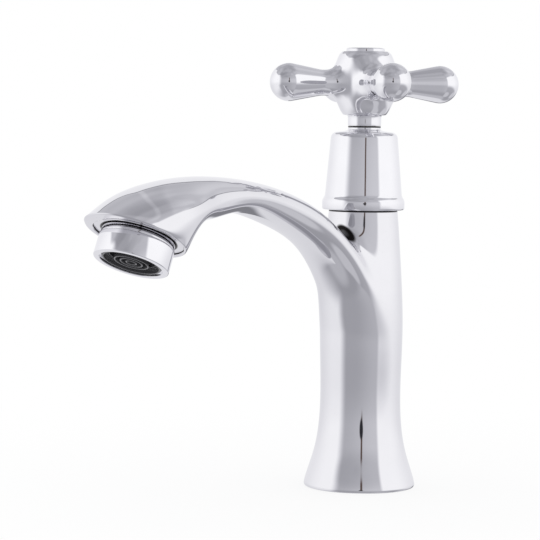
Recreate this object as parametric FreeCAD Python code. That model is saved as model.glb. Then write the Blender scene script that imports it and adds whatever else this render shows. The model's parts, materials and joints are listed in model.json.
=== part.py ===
import FreeCAD, Part
import math
import os

from FreeCAD import Vector

# Single-hole pillar tap with a cross handle, in millimetres.
# +Z is up, the origin is the centre of the foot on the deck, and the spout points along -Y.

# Clearances
SEAT_FIT = 0.05
SPINDLE_FIT = 0.05
RING_FIT = 0.03
HANDLE_GAP = 0.45

# Column, from the deck up
FOOT_RADIUS = 19.7
FOOT_BEVEL = 0.3
FOOT_EDGE = 1.0
FLARE_RADIUS = 16.6
FLARE_HEIGHT = 11.2
FLARE_SLOPE = 0.2
WAIST_RADIUS = 14.35
WAIST_HEIGHT = 26.0
BELLY_RADIUS = 14.65
BELLY_DROP = 41.9
SHOULDER_RADIUS = 13.6
SHOULDER_DROP = 18.9
COLUMN_HEIGHT = 97.9
TOP_WALL = 1.65
TOP_SLOPE = 0.1

# Spout: the oval rim at its end, and the sections between it and the column
SPOUT_REACH = 129.25
RIM_DROP = 5.75
RIM_LENGTH = 35.6
RIM_WIDTH = 31.6
RIM_LEAD = 1.6
OUTLET_TILT = 24.7
SPOUT_WALL = 2.8
CROTCH_RADIUS = 3.0
UNDERSIDE_RADIUS = 22.0
LIP_CHAMFER = 0.4

# Share of the reach, height above the column's top, lean towards the column, thickness and width
SPOUT_SECTIONS = [
    (0.023, -42.0, 60.0, 16.0, 22.0),
    (0.075, -28.0, 50.5, 14.6, 22.0),
    (0.154, -16.2, 39.0, 13.0, 20.4),
    (0.261, -6.4, 23.0, 12.4, 19.0),
    (0.436, 2.0, 15.2, 12.0, 20.0),
    (0.658, 6.7, -24.5, 12.9, 23.6),
    (0.810, 5.7, -46.2, 19.3, 27.0),
    (0.928, 2.6, -57.5, 23.0, 33.4),
]
SOLID_SECTION_COUNT = 2

# Waterway in the column
INLET_RADIUS = 9.3
INLET_DEPTH = 15.0
SUPPLY_RADIUS = 8.0
SEAT_LEDGE = 0.2
SEAT_WEB = 4.0
SEAT_DEPTH = 23.9
HEAD_THREAD_RADIUS = 10.45
HEAD_THREAD_DEPTH = 13.5
CHAMBER_GAP = 0.8
PORT_RADIUS = 3.4
PORT_RISE = 5.0

# Gasket under the foot
FOOT_LAND = 2.3
INLET_LAND = 3.1
GASKET_HEIGHT = 2.0

# Valve stack, from the seat up
SEAL_HEIGHT = 2.2
SEAL_WIDTH = 1.7
SEAL_PROUD = 1.0
DISC_HEIGHT = 2.2
DISC_MARGIN = 1.3
DISC_CORE = 2.2
DISC_SLOT_ANGLE = 76.0
TANG_LENGTH = 9.0
TANG_WIDTH = 3.0
TANG_DEPTH = 1.0
SPINDLE_FOOT_HEIGHT = 2.4
SLIP_WASHER_HEIGHT = 1.0

# Headwork
CAGE_STEP = 1.85
CAGE_WALL = 1.65
WINDOW_WIDTH = 7.0
WINDOW_HEIGHT = 3.4
HEAD_WASHER_HEIGHT = 1.0
FLANGE_LIP = 1.15
FLANGE_HEIGHT = 2.5
HEX_INSET = 0.635
HEX_HEIGHT = 6.6
GLAND_WALL = 2.45

# Spindle
SPINDLE_RADIUS = 4.0
RING_SECTION = 1.2
RING_GROOVE = 1.7
RING_LIFTS = (2.9, 7.9)
CLIP_THICKNESS = 0.9
CLIP_PROUD = 1.6
CLIP_DEPTH = 0.8
CLIP_OPENING = 70.0
CLIP_LIFT = 0.1
CLIP_ROOM = 4.3
SPLINE_TEETH = 20
SPLINE_DEPTH = 0.45

# Shroud
COLLAR_STEP = 1.0
COLLAR_HEIGHT = 3.5
COLLAR_BEVEL = 0.6
SHROUD_SIDE = 1.9
SHROUD_FOOT_STEP = 1.2
SHROUD_TAPER = 1.9
SHROUD_HEIGHT = 27.2
SHROUD_EDGE_ROUND = 2.0
SHROUD_SEAL_HEIGHT = 1.0
SHROUD_ROOM = 0.585
SHROUD_WALL = 1.8
SHOULDER_RISE = 0.8
NECK_WALL = 1.3
NECK_HEIGHT = 1.65
NECK_GAP = 0.4
DUST_RING_STEP = 0.1

# Handle
SKIRT_WALL = 1.87
SKIRT_HEIGHT = 3.9
HUB_STEP = 1.68
HUB_RADIUS = 10.4
HUB_TOP_RADIUS = 8.4
HUB_HEIGHT = 22.2
HUB_SLOPE = 0.9
HUB_WEB = 3.5
WELL_DEPTH = 8.0
ARM_RISE = 11.1
ARM_COUNT = 4
ARM_START_ANGLE = 51.2
ARM_REACH = 28.0
BALL_RADIUS = 6.7
ARM_NECK_RADIUS = 4.55
ARM_NECK_RUN = 5.9
ARM_ROOT_ROUND = 3.5

# Handle screw and cap
SCREW_RADIUS = 1.95
SCREW_LENGTH = 12.5
SCREW_SPARE = 0.8
SCREW_HEAD_LEDGE = 1.65
SCREW_HEAD_HEIGHT = 2.6
SCREW_SOCKET_ACROSS = 3.0
SCREW_SOCKET_DEPTH = 1.7
HUB_RIM = 1.6
CAP_LEDGE = 1.55
CAP_SEAT = 2.0
CAP_PROUD = 1.2
CAP_BEVEL = 0.5
CAP_SKIRT_WALL = 1.1
CAP_SKIRT_DEPTH = 4.0

# Outlet and aerator
NIPPLE_RADIUS = 10.9
NIPPLE_WALL = 2.2
NIPPLE_DROP = 4.1
OUTLET_DEPTH = 4.0
OUTLET_COLLAR_STEP = 0.2
GROOVE_GAP = 2.6
GROOVE_DEPTH = 0.8
SLEEVE_WALL = 0.97
SLEEVE_DROP = 1.4
SLEEVE_CHAMFER = 0.3
SLEEVE_LEDGE = 1.4
SLEEVE_LIP_HEIGHT = 1.0
SLEEVE_FACE = 1.9
SLEEVE_MOUTH_DEPTH = 0.87
AERATOR_WASHER_HEIGHT = 1.4
CUP_WALL = 0.9
CUP_HEIGHT = 6.0
CUP_FLANGE = 1.2
NOSE_DROP = 1.4
NOSE_GAP = 0.15
NOSE_WALL = 0.6
STRAIGHTENER_HEIGHT = 1.6
STRAIGHTENER_PITCH = 1.85
STRAIGHTENER_WALL = 0.5
STRAIGHTENER_SPOKES = 4
SCREEN_HEIGHT = 0.4
SCREEN_GAP = 0.5
SCREEN_COUNT = 2
SCREEN_HOLE = 1.8
JET_PLATE_HEIGHT = 1.2
JET_HOLE = 1.0
STRAINER_HEIGHT = 0.8
STRAINER_HOLE = 1.4
HOLE_PITCH = 2.85

# Heights worked out from the sizes above
seat_z = COLUMN_HEIGHT - SEAT_DEPTH
fixed_disc_z = seat_z + SEAL_HEIGHT
turning_disc_z = fixed_disc_z + DISC_HEIGHT
spindle_foot_z = turning_disc_z + DISC_HEIGHT
slip_washer_z = spindle_foot_z + SPINDLE_FOOT_HEIGHT
cage_roof_z = slip_washer_z + SLIP_WASHER_HEIGHT
thread_z = COLUMN_HEIGHT - HEAD_THREAD_DEPTH
flange_z = COLUMN_HEIGHT + HEAD_WASHER_HEIGHT
hex_z = flange_z + FLANGE_HEIGHT
hex_top_z = hex_z + HEX_HEIGHT
shroud_step_z = hex_z + SHROUD_SEAL_HEIGHT
shroud_top_z = COLUMN_HEIGHT + SHROUD_HEIGHT
shroud_roof_z = shroud_top_z - SHROUD_WALL
gland_top_z = shroud_roof_z - CLIP_ROOM
clip_z = gland_top_z + CLIP_LIFT
neck_top_z = shroud_top_z + NECK_HEIGHT
skirt_z = neck_top_z + HANDLE_GAP
hub_z = skirt_z + SKIRT_HEIGHT
arm_z = hub_z + ARM_RISE
hub_top_z = hub_z + HUB_HEIGHT
cap_seat_z = hub_top_z - CAP_SEAT
web_top_z = cap_seat_z - WELL_DEPTH
web_z = web_top_z - HUB_WEB
spline_top_z = web_z - HANDLE_GAP
screw_tip_z = web_top_z - SCREW_LENGTH
ring_heights = [cage_roof_z + lift for lift in RING_LIFTS]

# Radii worked out from the headwork's thread
column_top_radius = HEAD_THREAD_RADIUS + TOP_WALL
flange_radius = HEAD_THREAD_RADIUS + FLANGE_LIP
hex_corner = HEAD_THREAD_RADIUS - HEX_INSET
cage_radius = HEAD_THREAD_RADIUS - CAGE_STEP
chamber_radius = cage_radius + CHAMBER_GAP
cage_bore = cage_radius - CAGE_WALL
disc_radius = cage_bore - SEAT_FIT
seal_inner = disc_radius - SEAL_WIDTH
seat_hole = seal_inner - SEAT_LEDGE
shroud_bore = hex_corner + SHROUD_ROOM
shroud_foot_radius = flange_radius + SHROUD_SIDE
shroud_top_radius = shroud_foot_radius - SHROUD_TAPER
collar_radius = shroud_foot_radius + COLLAR_STEP

# Radii worked out from the spindle, the hub and the screw
spindle_bore = SPINDLE_RADIUS + SPINDLE_FIT
gland_radius = spindle_bore + GLAND_WALL
neck_bore = SPINDLE_RADIUS + NECK_GAP
neck_radius = neck_bore + NECK_WALL
spline_radius = SPINDLE_RADIUS - SEAT_FIT
skirt_radius = spline_radius + SEAT_FIT + SKIRT_WALL
hub_foot_radius = skirt_radius + HUB_STEP
arm_neck_reach = HUB_RADIUS + ARM_NECK_RUN
cap_recess = HUB_TOP_RADIUS - HUB_RIM
cap_radius = cap_recess - SEAT_FIT
well_radius = cap_radius - CAP_LEDGE
screw_hole = SCREW_RADIUS + SEAT_FIT
screw_head_radius = SCREW_RADIUS + SCREW_HEAD_LEDGE

# Outlet sizes, with heights along the outlet's axis and the rim at zero
nipple_bore = NIPPLE_RADIUS - NIPPLE_WALL
sleeve_bore = NIPPLE_RADIUS + SEAT_FIT
sleeve_radius = sleeve_bore + SLEEVE_WALL
sleeve_lip_radius = NIPPLE_RADIUS - SLEEVE_LEDGE
sleeve_mouth_radius = sleeve_radius - SLEEVE_FACE
nose_radius = sleeve_lip_radius - NOSE_GAP
outlet_collar_radius = sleeve_radius - OUTLET_COLLAR_STEP
groove_radius = sleeve_radius + GROOVE_GAP
cup_radius = nipple_bore - SEAT_FIT
cup_bore = cup_radius - CUP_WALL
grid_radius = cup_bore - SEAT_FIT
washer_top = -NIPPLE_DROP
cup_flange_top = washer_top - AERATOR_WASHER_HEIGHT
lip_top = cup_flange_top - CUP_FLANGE
nose_end = lip_top - NOSE_DROP
mouth_top = lip_top - SLEEVE_LIP_HEIGHT
sleeve_bottom = mouth_top - SLEEVE_MOUTH_DEPTH
cup_top = cup_flange_top + CUP_HEIGHT
screen_z = lip_top + STRAIGHTENER_HEIGHT
screen_step = SCREEN_HEIGHT + SCREEN_GAP
jet_plate_z = screen_z + SCREEN_COUNT * screen_step

outlet_center = Vector(0, -SPOUT_REACH, COLUMN_HEIGHT - RIM_DROP)
UP = Vector(0, 0, 1)
SIDEWAYS = Vector(1, 0, 0)
ORIGIN = Vector(0, 0, 0)
FAR = 4 * (SPOUT_REACH + COLUMN_HEIGHT)


# Basic shapes about the Z axis
def at(radius, z):
    return Vector(radius, 0, z)


def outline(points):
    return [Part.makeLine(a, b) for a, b in zip(points, points[1:])]


def turned(edges):
    return Part.Face(Part.Wire(edges)).revolve(ORIGIN, UP, 360)


def spun(points):
    corners = [at(*point) for point in points]
    return turned(outline(corners + corners[:1]))


def ring(outer, inner, low, high):
    return spun([(inner, low), (outer, low), (outer, high), (inner, high)])


def rod(radius, low, high):
    return Part.makeCylinder(radius, high - low, at(0, low))


def prism(points, low, high):
    corners = [Vector(x, y, low) for x, y in points]
    return Part.Face(Part.Wire(outline(corners + corners[:1]))).extrude(UP * (high - low))


def polar(radius, degrees):
    angle = math.radians(degrees)
    return radius * math.cos(angle), radius * math.sin(angle)


def hexagon(corner_radius, low, high):
    return prism([polar(corner_radius, 60 * step) for step in range(6)], low, high)


def star(tip, root, teeth, low, high):
    step = 180 / teeth
    return prism([polar(root if k % 2 else tip, step * k) for k in range(2 * teeth)], low, high)


def sector(outer, inner, low, high, middle, angle):
    wedge = Part.makeCylinder(outer, high - low, at(0, low), UP, angle)
    wedge.rotate(ORIGIN, UP, middle - angle / 2)
    return wedge.cut(rod(inner, low, high))


def centred_box(length, width, low, high):
    return Part.makeBox(length, width, high - low, Vector(-length / 2, -width / 2, low))


# Column and spout
def column_solid():
    stations = [
        at(FOOT_RADIUS, FOOT_EDGE),
        at(FLARE_RADIUS, FLARE_HEIGHT),
        at(WAIST_RADIUS, WAIST_HEIGHT),
        at(BELLY_RADIUS, COLUMN_HEIGHT - BELLY_DROP),
        at(SHOULDER_RADIUS, COLUMN_HEIGHT - SHOULDER_DROP),
        at(column_top_radius, COLUMN_HEIGHT),
    ]
    flank = Part.BSplineCurve()
    flank.interpolate(
        Points=stations,
        InitialTangent=at(-FLARE_SLOPE, 1),
        FinalTangent=at(-TOP_SLOPE, 1),
    )
    foot = [ORIGIN, at(FOOT_RADIUS - FOOT_BEVEL, 0), stations[0]]
    top = [stations[-1], at(0, COLUMN_HEIGHT), ORIGIN]
    column = turned(outline(foot) + [flank.toShape()] + outline(top))
    column.rotate(ORIGIN, UP, 90)
    return column


def half_section(center, rise, width):
    arc = Part.ArcOfCircle(Part.Circle(ORIGIN, UP, 1), -math.pi / 2, math.pi / 2).toBSpline()
    for number, pole in enumerate(arc.getPoles(), 1):
        arc.setPole(number, center + SIDEWAYS * (width / 2 * pole.x) + rise * pole.y)
    return Part.Wire([arc.toShape(), Part.makeLine(center + rise, center - rise)])


def spout_section(share, height, lean, thickness, width, wall=0):
    center = Vector(0, -share * SPOUT_REACH, COLUMN_HEIGHT + height)
    tilt = math.radians(lean)
    half = thickness / 2 - wall
    return half_section(center, Vector(0, math.sin(tilt), math.cos(tilt)) * half, width - 2 * wall)


def outlet_section(length, width, lead, depth):
    tilt = math.radians(OUTLET_TILT)
    inward = Vector(0, math.sin(tilt), math.cos(tilt))
    forward = Vector(0, -math.cos(tilt), math.sin(tilt))
    center = outlet_center + inward * depth + forward * lead
    return half_section(center, forward * (length / 2), width)


def both_sides(half):
    return half.fuse(half.mirror(ORIGIN, SIDEWAYS))


def spout_solid():
    sections = [spout_section(*section) for section in SPOUT_SECTIONS]
    sections.append(outlet_section(RIM_LENGTH, RIM_WIDTH, RIM_LEAD, 0))
    return both_sides(Part.makeLoft(sections, True, False))


def root_edge(half):
    for edge in half.Edges:
        box = edge.BoundBox
        inside = WAIST_HEIGHT < box.ZMin and box.ZMax < COLUMN_HEIGHT - FOOT_EDGE
        if inside and box.XLength > CROTCH_RADIUS and box.YMin > -2 * BELLY_RADIUS:
            return edge


def lip_edge(half):
    curved = [edge for edge in half.Edges if edge.BoundBox.XLength > RIM_WIDTH / 4]
    return min(curved, key=lambda edge: (edge.CenterOfMass - outlet_center).Length)


# The root's fillet grows from the crotch above the spout to the underside below it
def blended_shell():
    side = Part.makeBox(FAR, 2 * FAR, 2 * FAR, Vector(0, -FAR, -FAR))
    half = column_solid().fuse(spout_solid()).common(side)
    half = half.makeFillet(CROTCH_RADIUS, UNDERSIDE_RADIUS, [root_edge(half)])
    half = half.makeChamfer(LIP_CHAMFER, [lip_edge(half)])
    return both_sides(half)


# Outlet pieces are drawn round the Z axis with the rim at zero, then set on the outlet's axis
def on_outlet(shape):
    shape.rotate(ORIGIN, SIDEWAYS, -OUTLET_TILT)
    shape.translate(outlet_center)
    return shape


def spout_waterway():
    hollow = SPOUT_SECTIONS[SOLID_SECTION_COUNT:]
    sections = [spout_section(*section, wall=SPOUT_WALL) for section in hollow]
    sections.append(outlet_section(2 * nipple_bore, 2 * nipple_bore, 0, OUTLET_DEPTH / 2))
    return both_sides(Part.makeLoft(sections, True, True))


# The port's end runs on by its radius, so that all of it opens into the spout's waterway
def valve_port():
    share, height, *rest = SPOUT_SECTIONS[SOLID_SECTION_COUNT]
    start = at(0, seat_z + PORT_RISE)
    run = Vector(0, -share * SPOUT_REACH, COLUMN_HEIGHT + height) - start
    return Part.makeCylinder(PORT_RADIUS, run.Length + PORT_RADIUS, start, run)


def tap_body():
    nipple = on_outlet(rod(NIPPLE_RADIUS, -NIPPLE_DROP, GROOVE_DEPTH))
    collar = on_outlet(rod(outlet_collar_radius, -SLEEVE_DROP, GROOVE_DEPTH))
    groove = on_outlet(rod(groove_radius, -LIP_CHAMFER, GROOVE_DEPTH))
    gasket_outer, gasket_inner = gasket_radii()
    hollows = [
        rod(INLET_RADIUS, 0, INLET_DEPTH),
        rod(SUPPLY_RADIUS, 0, seat_z - SEAT_WEB),
        rod(seat_hole, 0, seat_z),
        rod(chamber_radius, seat_z, thread_z),
        rod(HEAD_THREAD_RADIUS, thread_z, COLUMN_HEIGHT),
        ring(gasket_outer + SEAT_FIT, gasket_inner - SEAT_FIT, 0, GASKET_HEIGHT),
        valve_port(),
        spout_waterway(),
        on_outlet(rod(nipple_bore, -NIPPLE_DROP, OUTLET_DEPTH)),
    ]
    return blended_shell().cut(groove).fuse([nipple, collar]).cut(hollows)


def gasket_radii():
    return FOOT_RADIUS - FOOT_LAND, INLET_RADIUS + INLET_LAND


def base_gasket():
    return ring(*gasket_radii(), 0, GASKET_HEIGHT)


# Headwork and valve
def headwork_body():
    thread_radius = HEAD_THREAD_RADIUS - SEAT_FIT
    thread_end_z = thread_z + SEAT_FIT
    body = spun([
        (0, seat_z + SEAL_PROUD),
        (cage_radius, seat_z + SEAL_PROUD),
        (cage_radius, thread_end_z),
        (thread_radius, thread_end_z),
        (thread_radius, flange_z),
        (flange_radius, flange_z),
        (flange_radius, hex_z),
        (gland_radius, hex_z),
        (gland_radius, gland_top_z),
        (0, gland_top_z),
    ])
    window = centred_box(WINDOW_WIDTH, 4 * cage_radius, turning_disc_z, turning_disc_z + WINDOW_HEIGHT)
    hollows = [
        rod(cage_bore, seat_z, cage_roof_z),
        rod(spindle_bore, seat_z, gland_top_z),
        window,
    ]
    return body.fuse(hexagon(hex_corner, hex_z, hex_top_z)).cut(hollows)


def headwork_washer():
    return ring(flange_radius, HEAD_THREAD_RADIUS, COLUMN_HEIGHT, flange_z)


def seat_seal():
    return ring(disc_radius, seal_inner, seat_z, fixed_disc_z)


def slotted_disc(z, middle):
    top = z + DISC_HEIGHT
    slot_outer = disc_radius - DISC_MARGIN
    slots = [
        sector(slot_outer, DISC_CORE, z, top, middle + turn, DISC_SLOT_ANGLE)
        for turn in (0, 180)
    ]
    return rod(disc_radius, z, top).cut(slots)


def fixed_disc():
    return slotted_disc(fixed_disc_z, 0)


def turning_disc():
    slot_length = TANG_LENGTH + 2 * SEAT_FIT
    slot_width = TANG_WIDTH + 2 * SEAT_FIT
    slot_floor = spindle_foot_z - TANG_DEPTH - SEAT_FIT
    slot = centred_box(slot_length, slot_width, slot_floor, spindle_foot_z)
    return slotted_disc(turning_disc_z, 90).cut(slot)


def spindle_groove(depth, low, high):
    return ring(2 * SPINDLE_RADIUS, SPINDLE_RADIUS - depth, low, high)


def spindle():
    stem = rod(SPINDLE_RADIUS, spindle_foot_z, neck_top_z)
    foot = rod(disc_radius - SPINDLE_FIT, spindle_foot_z, slip_washer_z)
    tang = centred_box(TANG_LENGTH, TANG_WIDTH, spindle_foot_z - TANG_DEPTH, spindle_foot_z)
    spline = star(spline_radius, spline_radius - SPLINE_DEPTH, SPLINE_TEETH, neck_top_z, spline_top_z)
    grooves = [
        spindle_groove(RING_SECTION, z - RING_GROOVE / 2, z + RING_GROOVE / 2)
        for z in ring_heights
    ]
    grooves.append(spindle_groove(CLIP_DEPTH, clip_z, clip_z + CLIP_THICKNESS))
    screw_well = rod(screw_hole, screw_tip_z - SCREW_SPARE, spline_top_z)
    return stem.fuse([foot, tang, spline]).cut(grooves + [screw_well])


# Two square-cut seal rings that turn with the spindle
def spindle_rings():
    outer = spindle_bore - RING_FIT
    inner = SPINDLE_RADIUS - RING_SECTION
    half = RING_SECTION / 2
    return Part.makeCompound([ring(outer, inner, z - half, z + half) for z in ring_heights])


def slip_washer():
    return ring(disc_radius - SPINDLE_FIT, spindle_bore, slip_washer_z, cage_roof_z)


def spindle_clip():
    clip_top = clip_z + CLIP_THICKNESS
    clip_radius = SPINDLE_RADIUS + CLIP_PROUD
    clip = ring(clip_radius, SPINDLE_RADIUS - CLIP_DEPTH, clip_z, clip_top)
    opening = sector(2 * clip_radius, SPINDLE_RADIUS / 4, clip_z, clip_top, 90, CLIP_OPENING)
    return clip.cut(opening)


# Shroud
def bonnet_shroud():
    collar_z = COLUMN_HEIGHT + COLLAR_HEIGHT
    bore = flange_radius + SEAT_FIT
    shell = spun([
        (bore, COLUMN_HEIGHT),
        (collar_radius - COLLAR_BEVEL, COLUMN_HEIGHT),
        (collar_radius, COLUMN_HEIGHT + COLLAR_BEVEL),
        (collar_radius, collar_z),
        (shroud_foot_radius, collar_z + SHROUD_FOOT_STEP),
        (shroud_top_radius, shroud_top_z),
        (neck_bore, shroud_top_z),
        (neck_bore, shroud_roof_z),
        (shroud_top_radius - SHROUD_WALL, shroud_roof_z),
        (shroud_bore, shroud_step_z),
        (bore, shroud_step_z),
    ])
    shell = shell.makeFillet(SHROUD_EDGE_ROUND, [outer_edge(shell, shroud_top_z)])
    neck = ring(neck_radius, neck_bore, shroud_top_z, neck_top_z)
    return shell.fuse([shroud_shoulder(), neck])


def outer_edge(shape, z):
    level = [edge for edge in shape.Edges if edge.BoundBox.ZLength < SEAT_FIT]
    rims = [edge for edge in level if abs(edge.BoundBox.ZMin - z) < SEAT_FIT]
    return max(rims, key=lambda edge: edge.Length)


# Hollow sweep from the shroud's rounded edge up to the neck
def shroud_shoulder():
    outer = shroud_top_radius - SHROUD_EDGE_ROUND
    start = at(outer, shroud_top_z)
    sag = at((outer + neck_radius) / 2, shroud_top_z + SHOULDER_RISE / 4)
    end = at(neck_radius, shroud_top_z + SHOULDER_RISE)
    back = outline([end, at(neck_bore, end.z), at(neck_bore, shroud_top_z), start])
    return turned([Part.Arc(start, sag, end).toShape()] + back)


def shroud_seal():
    return ring(flange_radius, shroud_bore, hex_z, shroud_step_z)


# Lies on the neck, just clear of the handle that turns above it
def dust_ring():
    return ring(skirt_radius - DUST_RING_STEP, spindle_bore, neck_top_z, skirt_z - SPINDLE_FIT)


# Handle
def hub_solid():
    foot = at(hub_foot_radius, hub_z)
    middle = at(HUB_RADIUS, arm_z)
    crown = at(HUB_TOP_RADIUS, hub_top_z)
    flank = Part.BSplineCurve()
    flank.interpolate(
        Points=[foot, middle, crown],
        InitialTangent=at(HUB_SLOPE, 1),
        FinalTangent=at(-HUB_SLOPE, 1),
    )
    skirt = [at(skirt_radius, skirt_z), at(skirt_radius, hub_z), foot]
    return turned([flank.toShape()] + outline([crown, at(0, hub_top_z), at(0, skirt_z)] + skirt))


def arm_solid():
    taper = math.asin((BALL_RADIUS - ARM_NECK_RADIUS) / (ARM_REACH - arm_neck_reach))
    ball = at(ARM_REACH, 0)
    ball_start = ball + at(-math.sin(taper), math.cos(taper)) * BALL_RADIUS
    shoulder = ball + at(*polar(BALL_RADIUS, 45))
    tip = ball + at(BALL_RADIUS, 0)
    edges = outline([ORIGIN, at(0, ARM_NECK_RADIUS), at(arm_neck_reach, ARM_NECK_RADIUS), ball_start])
    edges += [Part.Arc(ball_start, shoulder, tip).toShape(), Part.makeLine(tip, ORIGIN)]
    arm = Part.Face(Part.Wire(edges)).revolve(ORIGIN, SIDEWAYS, 360)
    arm.translate(at(0, arm_z))
    return arm


def is_arm_root(edge):
    center = edge.CenterOfMass
    height = edge.BoundBox.ZLength
    level = ARM_NECK_RADIUS < height < 3 * ARM_NECK_RADIUS
    return level and math.hypot(center.x, center.y) < HUB_RADIUS


def cross_handle():
    arms = []
    for number in range(ARM_COUNT):
        arm = arm_solid()
        arm.rotate(ORIGIN, UP, ARM_START_ANGLE + number * 360 / ARM_COUNT)
        arms.append(arm)
    handle = hub_solid().fuse(arms)
    handle = handle.makeFillet(ARM_ROOT_ROUND, [edge for edge in handle.Edges if is_arm_root(edge)])
    socket_tip = spline_radius + SEAT_FIT
    hollows = [
        star(socket_tip, socket_tip - SPLINE_DEPTH, SPLINE_TEETH, skirt_z, web_z),
        rod(screw_hole, web_z, web_top_z),
        rod(well_radius, web_top_z, cap_seat_z),
        rod(cap_recess, cap_seat_z, hub_top_z),
    ]
    return handle.cut(hollows)


def handle_screw():
    head_top = web_top_z + SCREW_HEAD_HEIGHT
    shank = rod(SCREW_RADIUS, screw_tip_z, web_top_z)
    head = rod(screw_head_radius, web_top_z, head_top)
    socket = hexagon(SCREW_SOCKET_ACROSS / math.sqrt(3), head_top - SCREW_SOCKET_DEPTH, head_top)
    return shank.fuse(head).cut(socket)


def index_cap():
    cap_top = hub_top_z + CAP_PROUD
    skirt_radius_outer = well_radius - SEAT_FIT
    skirt_radius_inner = skirt_radius_outer - CAP_SKIRT_WALL
    skirt_end_z = cap_seat_z - CAP_SKIRT_DEPTH
    return spun([
        (0, cap_seat_z),
        (skirt_radius_inner, cap_seat_z),
        (skirt_radius_inner, skirt_end_z),
        (skirt_radius_outer, skirt_end_z),
        (skirt_radius_outer, cap_seat_z),
        (cap_radius, cap_seat_z),
        (cap_radius, cap_top - CAP_BEVEL),
        (cap_radius - CAP_BEVEL, cap_top),
        (0, cap_top),
    ])


# Aerator, drawn with the rim at zero
def aerator_sleeve():
    return on_outlet(spun([
        (sleeve_bore, -SLEEVE_DROP),
        (sleeve_radius, -SLEEVE_DROP),
        (sleeve_radius, sleeve_bottom + SLEEVE_CHAMFER),
        (sleeve_radius - SLEEVE_CHAMFER, sleeve_bottom),
        (sleeve_mouth_radius, sleeve_bottom),
        (sleeve_mouth_radius, mouth_top),
        (sleeve_lip_radius, mouth_top),
        (sleeve_lip_radius, lip_top),
        (sleeve_bore, lip_top),
    ]))


def aerator_washer():
    return on_outlet(ring(NIPPLE_RADIUS, nipple_bore, cup_flange_top, washer_top))


def aerator_cage():
    return on_outlet(spun([
        (cup_bore, lip_top),
        (nose_radius - NOSE_WALL, lip_top),
        (nose_radius - NOSE_WALL, nose_end),
        (nose_radius, nose_end),
        (nose_radius, lip_top),
        (NIPPLE_RADIUS, lip_top),
        (NIPPLE_RADIUS, cup_flange_top),
        (cup_radius, cup_flange_top),
        (cup_radius, cup_top),
        (cup_bore, cup_top),
    ]))


# Rings at an even pitch that reach the nose's end, joined by spokes to a rim in the cup
def flow_straightener():
    rim_inner = grid_radius - STRAIGHTENER_WALL
    ring_count = int(rim_inner // STRAIGHTENER_PITCH)
    radii = [STRAIGHTENER_PITCH * (number + 1) for number in range(ring_count)]
    grid = [ring(outer, outer - STRAIGHTENER_WALL, nose_end, screen_z) for outer in radii]
    grid.append(ring(grid_radius, rim_inner, lip_top, screen_z))
    half_wall = STRAIGHTENER_WALL / 2
    spoke_start = radii[0] - half_wall
    spoke_end = grid_radius - half_wall
    for number in range(STRAIGHTENER_SPOKES):
        corner = Vector(spoke_start, -half_wall, lip_top)
        spoke = Part.makeBox(spoke_end - spoke_start, STRAIGHTENER_WALL, STRAIGHTENER_HEIGHT, corner)
        spoke.rotate(ORIGIN, UP, number * 360 / STRAIGHTENER_SPOKES)
        grid.append(spoke)
    return on_outlet(grid[0].fuse(grid[1:]))


def perforated(low, height, hole_across):
    high = low + height
    corner = hole_across / math.sqrt(3)
    rows = int((grid_radius - corner) // HOLE_PITCH)
    holes = [hexagon(corner, low, high)]
    for row in range(1, rows + 1):
        for number in range(6 * row):
            hole = hexagon(corner, low, high)
            hole.translate(Vector(*polar(row * HOLE_PITCH, number * 60 / row), 0))
            holes.append(hole)
    return rod(grid_radius, low, high).cut(holes)


def aerator_screens():
    heights = [screen_z + number * screen_step for number in range(SCREEN_COUNT)]
    return on_outlet(Part.makeCompound([perforated(z, SCREEN_HEIGHT, SCREEN_HOLE) for z in heights]))


def jet_plate():
    return on_outlet(perforated(jet_plate_z, JET_PLATE_HEIGHT, JET_HOLE))


def inlet_strainer():
    return on_outlet(perforated(cup_top - STRAINER_HEIGHT, STRAINER_HEIGHT, STRAINER_HOLE))


PIECES = [
    tap_body, base_gasket,
    headwork_body, headwork_washer, seat_seal, fixed_disc, turning_disc,
    spindle, spindle_rings, slip_washer, spindle_clip,
    bonnet_shroud, shroud_seal, dust_ring,
    cross_handle, handle_screw, index_cap,
    aerator_sleeve, aerator_washer, aerator_cage, flow_straightener,
    aerator_screens, jet_plate, inlet_strainer,
]

os.makedirs("parts", exist_ok=True)
for piece in PIECES:
    shape = piece()
    name = piece.__name__
    print(name, len(shape.Solids), "solids", shape.isValid(), "volume", round(shape.Volume, 1))
    shape.exportStep("parts/" + name + ".step")
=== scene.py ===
import json
import math

import bmesh
import bpy
import numpy as np
from mathutils import Matrix, Vector


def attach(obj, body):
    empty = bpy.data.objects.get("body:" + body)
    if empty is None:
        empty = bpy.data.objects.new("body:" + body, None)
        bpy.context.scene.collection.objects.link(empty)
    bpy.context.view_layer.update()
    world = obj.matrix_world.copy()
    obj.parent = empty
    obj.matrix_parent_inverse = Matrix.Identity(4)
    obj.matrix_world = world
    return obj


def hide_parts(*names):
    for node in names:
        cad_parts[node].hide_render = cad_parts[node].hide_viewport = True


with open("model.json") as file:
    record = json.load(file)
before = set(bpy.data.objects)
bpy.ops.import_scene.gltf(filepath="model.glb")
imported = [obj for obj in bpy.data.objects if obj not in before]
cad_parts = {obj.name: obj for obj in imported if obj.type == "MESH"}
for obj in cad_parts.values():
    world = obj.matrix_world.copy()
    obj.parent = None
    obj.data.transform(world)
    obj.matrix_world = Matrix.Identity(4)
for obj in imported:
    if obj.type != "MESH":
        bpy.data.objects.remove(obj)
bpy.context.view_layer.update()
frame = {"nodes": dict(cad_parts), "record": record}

scene = bpy.context.scene
mm = 0.001  # pieces are drawn in millimetres and scaled when they are finished
weld = 0.002  # vertices nearer than this are one, in millimetres


# camera at the photograph's angle
camera = {
    "azimuth": 34.4, "pitch": 3.73, "roll": 0.75,
    "lens": 153.33, "sensor": 36.0, "clip": (0.01, 50),
    "place": (430.7, -686.6, 128.9),
}


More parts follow.
